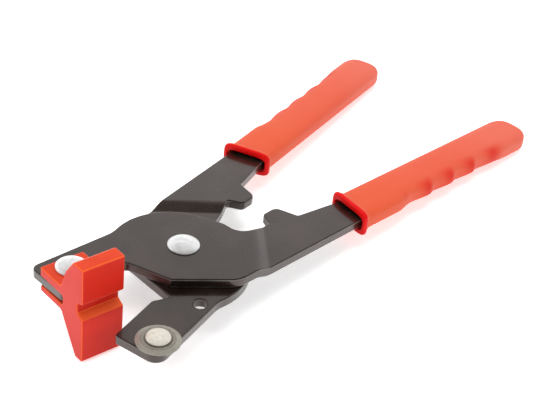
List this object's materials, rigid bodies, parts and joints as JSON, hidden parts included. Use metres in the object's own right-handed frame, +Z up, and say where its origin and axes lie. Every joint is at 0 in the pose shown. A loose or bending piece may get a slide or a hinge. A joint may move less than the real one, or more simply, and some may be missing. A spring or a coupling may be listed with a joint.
{
  "type": "tile cutting pliers",
  "caption": "Score-and-snap tile cutting pliers: crossed flat steel arms, scoring wheel, swivelling breaker pad and sleeve grips.",
  "frame": {"origin": "middle of the overall box at the surface that the tool lies on", "axes": "+X from the jaws to the handles, +Y towards the wheel arm's handle, +Z up"},
  "size_m": [0.2154, 0.0905, 0.0384],
  "materials": {
    "black_paint": "gloss black lacquer on stamped steel",
    "red_grip": "soft orange-red vinyl sleeve, satin",
    "red_pad": "hard moulded red plastic, satin",
    "rivet_steel": "bright zinc plated rivet",
    "wheel_steel": "ground carbide grey"
  },
  "bodies": {
    "jaw_side": {"jaw_arm": "black_paint", "jaw_arm_grip": "red_grip", "pivot_rivet": "rivet_steel", "pivot_washer": "rivet_steel", "pad_rivet": "rivet_steel", "pad_washer": "rivet_steel"},
    "wheel_side": {"wheel_arm": "black_paint", "wheel_arm_grip": "red_grip", "wheel_rivet": "rivet_steel", "wheel_spacer": "rivet_steel"},
    "pad": {"breaker_pad": "red_pad"},
    "wheel": {"scoring_wheel": "wheel_steel"}
  },
  "joints": [
    {"name": "arm_pivot", "type": "hinge", "parent": "jaw_side", "child": "wheel_side", "pos_m": [-0.05563, -0.00221, 0.01427], "axis": [0.0648, 0, 0.9979], "range_deg": [-8, 15]},
    {"name": "pad_swivel", "type": "hinge", "parent": "jaw_side", "child": "pad", "pos_m": [-0.09527, 0.01111, 0.01684], "axis": [0.0648, 0, 0.9979], "range_deg": [-4, 8]},
    {"name": "wheel_spin", "type": "hinge", "parent": "wheel_side", "child": "wheel", "pos_m": [-0.09595, -0.02961, 0.01689], "axis": [0.0648, 0, 0.9979], "continuous": true}
  ]
}
